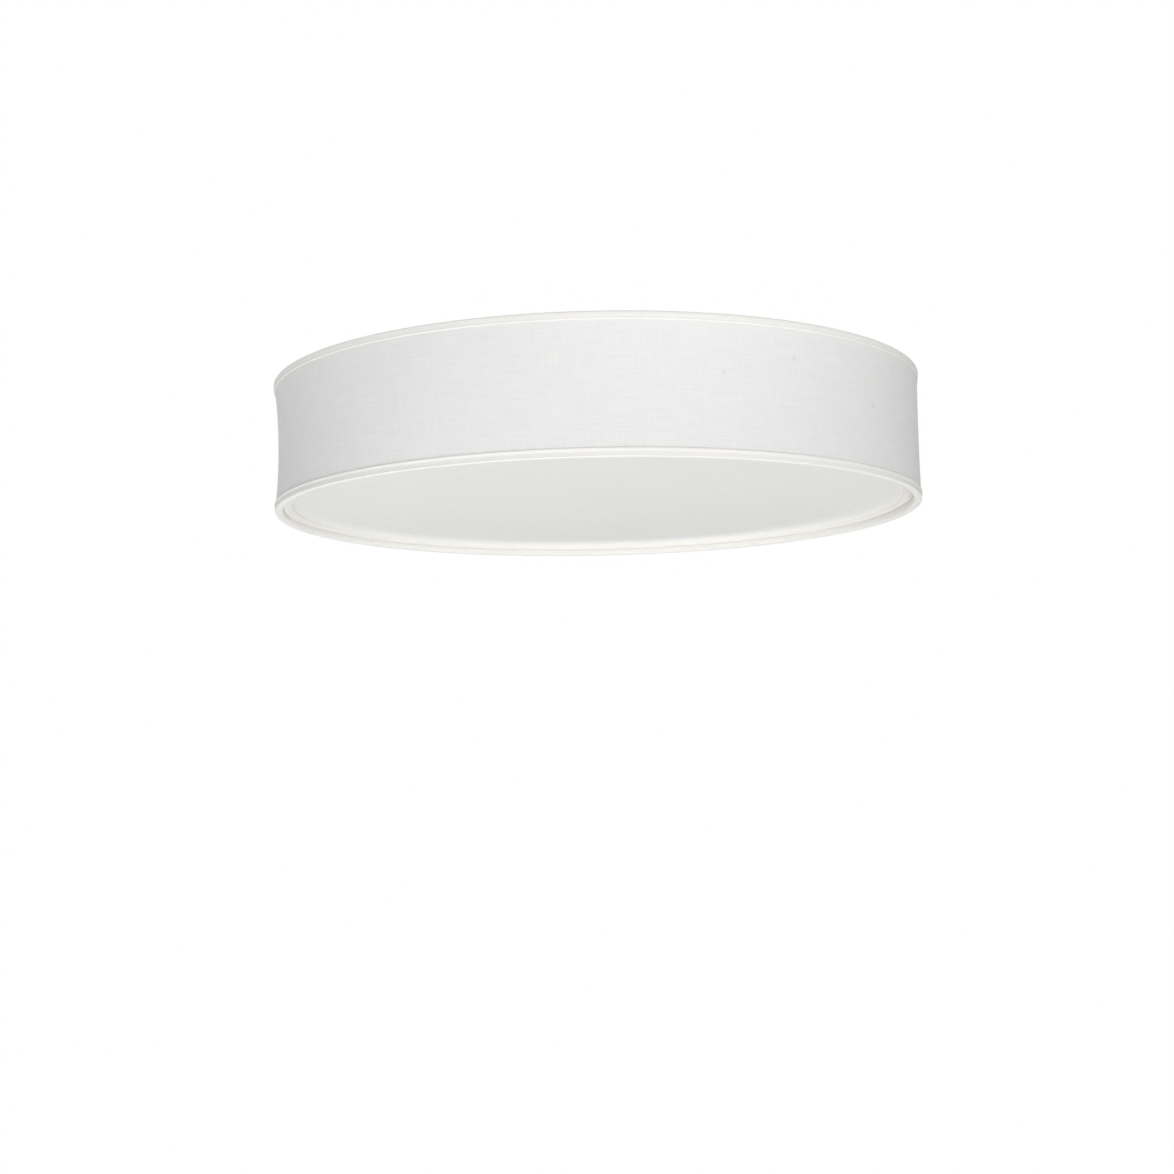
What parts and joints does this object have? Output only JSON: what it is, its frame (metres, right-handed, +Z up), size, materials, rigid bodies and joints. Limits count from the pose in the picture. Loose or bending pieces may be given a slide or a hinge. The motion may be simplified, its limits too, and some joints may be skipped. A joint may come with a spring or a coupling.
{
  "type": "flush mount ceiling light",
  "caption": "Round drum ceiling light with a stretched fabric shade, taped rings and a recessed fabric diffuser, hung from a ceiling pan with screw-in lamps.",
  "frame": {"origin": "centre of the mounting bar's upper face, on the ceiling, midway between its two slots", "axes": "+Z up into the ceiling, square to the mounting bar's upper face; the bar's slots lie along Y; the shade is round about Z"},
  "size_m": [0.5, 0.5, 0.1],
  "materials": {
    "zinc_steel": "zinc plated pressed steel",
    "pan_enamel": "white powder coat",
    "nickel": "satin nickel plate",
    "frame_enamel": "white epoxy coated wire",
    "linen": "plain linen weave, laminated",
    "tape": "cream folded binding tape",
    "diffuser_linen": "fine translucent weave",
    "holder_plastic": "moulded thermoset",
    "lamp_cap": "bright rolled cap",
    "lamp_housing": "white moulded housing",
    "lamp_globe": "opal, satin",
    "contact_brass": "spring brass",
    "block_plastic": "moulded nylon",
    "lead_sleeve": "silicone sleeve",
    "earth_sleeve": "green and yellow sleeve",
    "grommet_rubber": "black rubber",
    "magnet": "nickel plated magnet"
  },
  "bodies": {
    "base": {"mounting_bar": "zinc_steel", "bar_studs": "zinc_steel", "pan_nuts": "nickel", "ceiling_pan": "pan_enamel", "clinch_nuts": "nickel", "holder_contacts": "contact_brass", "terminal_block": "block_plastic", "lamp_leads": "lead_sleeve", "earth_wire": "earth_sleeve", "wire_grommet": "grommet_rubber", "earth_screw": "zinc_steel", "earth_lug": "contact_brass", "lamp_bracket_1": "zinc_steel", "lamp_bracket_2": "zinc_steel", "lamp_bracket_3": "zinc_steel", "lamp_holder_1": "holder_plastic", "lamp_holder_2": "holder_plastic", "lamp_holder_3": "holder_plastic"},
    "shade": {"top_ring": "frame_enamel", "bottom_ring": "frame_enamel", "shade_cover": "linen", "top_binding": "tape", "bottom_binding": "tape", "catch_brackets": "zinc_steel", "catch_magnets": "magnet", "strut_1": "frame_enamel", "strut_2": "frame_enamel", "strut_3": "frame_enamel", "spider_arm_1": "frame_enamel", "spider_arm_2": "frame_enamel", "spider_arm_3": "frame_enamel"},
    "diffuser": {"diffuser_hoop": "frame_enamel", "diffuser_disc": "diffuser_linen", "diffuser_binding": "tape", "hoop_keepers": "zinc_steel"},
    "thumb_1": {"thumb_screw_1": "nickel"},
    "bulb_1": {"bulb_cap_1": "lamp_cap", "bulb_housing_1": "lamp_housing", "bulb_globe_1": "lamp_globe"},
    "thumb_2": {"thumb_screw_2": "nickel"},
    "bulb_2": {"bulb_cap_2": "lamp_cap", "bulb_housing_2": "lamp_housing", "bulb_globe_2": "lamp_globe"},
    "thumb_3": {"thumb_screw_3": "nickel"},
    "bulb_3": {"bulb_cap_3": "lamp_cap", "bulb_housing_3": "lamp_housing", "bulb_globe_3": "lamp_globe"}
  },
  "joints": [
    {"name": "shade_drop", "type": "slide", "parent": "base", "child": "shade", "axis": [0, 0, -1], "range_m": [0, 0.1]},
    {"name": "diffuser_drop", "type": "slide", "parent": "shade", "child": "diffuser", "axis": [0, 0, -1], "range_m": [0, 0.05]},
    {"name": "thumb_1_turn", "type": "hinge", "parent": "shade", "child": "thumb_1", "pos_m": [0.105, 0, -0.022], "axis": [0, 0, 1], "continuous": true},
    {"name": "thumb_2_turn", "type": "hinge", "parent": "shade", "child": "thumb_2", "pos_m": [-0.0525, 0.09093, -0.022], "axis": [0, 0, 1], "continuous": true},
    {"name": "thumb_3_turn", "type": "hinge", "parent": "shade", "child": "thumb_3", "pos_m": [-0.0525, -0.09093, -0.022], "axis": [0, 0, 1], "continuous": true},
    {"name": "bulb_1_turn", "type": "hinge", "parent": "base", "child": "bulb_1", "pos_m": [0.0417, 0.07223, -0.0544], "axis": [0.5, 0.866, 0], "continuous": true},
    {"name": "bulb_2_turn", "type": "hinge", "parent": "base", "child": "bulb_2", "pos_m": [-0.0834, 0, -0.0544], "axis": [-1, 0, 0], "continuous": true},
    {"name": "bulb_3_turn", "type": "hinge", "parent": "base", "child": "bulb_3", "pos_m": [0.0417, -0.07223, -0.0544], "axis": [0.5, -0.866, 0], "continuous": true}
  ]
}
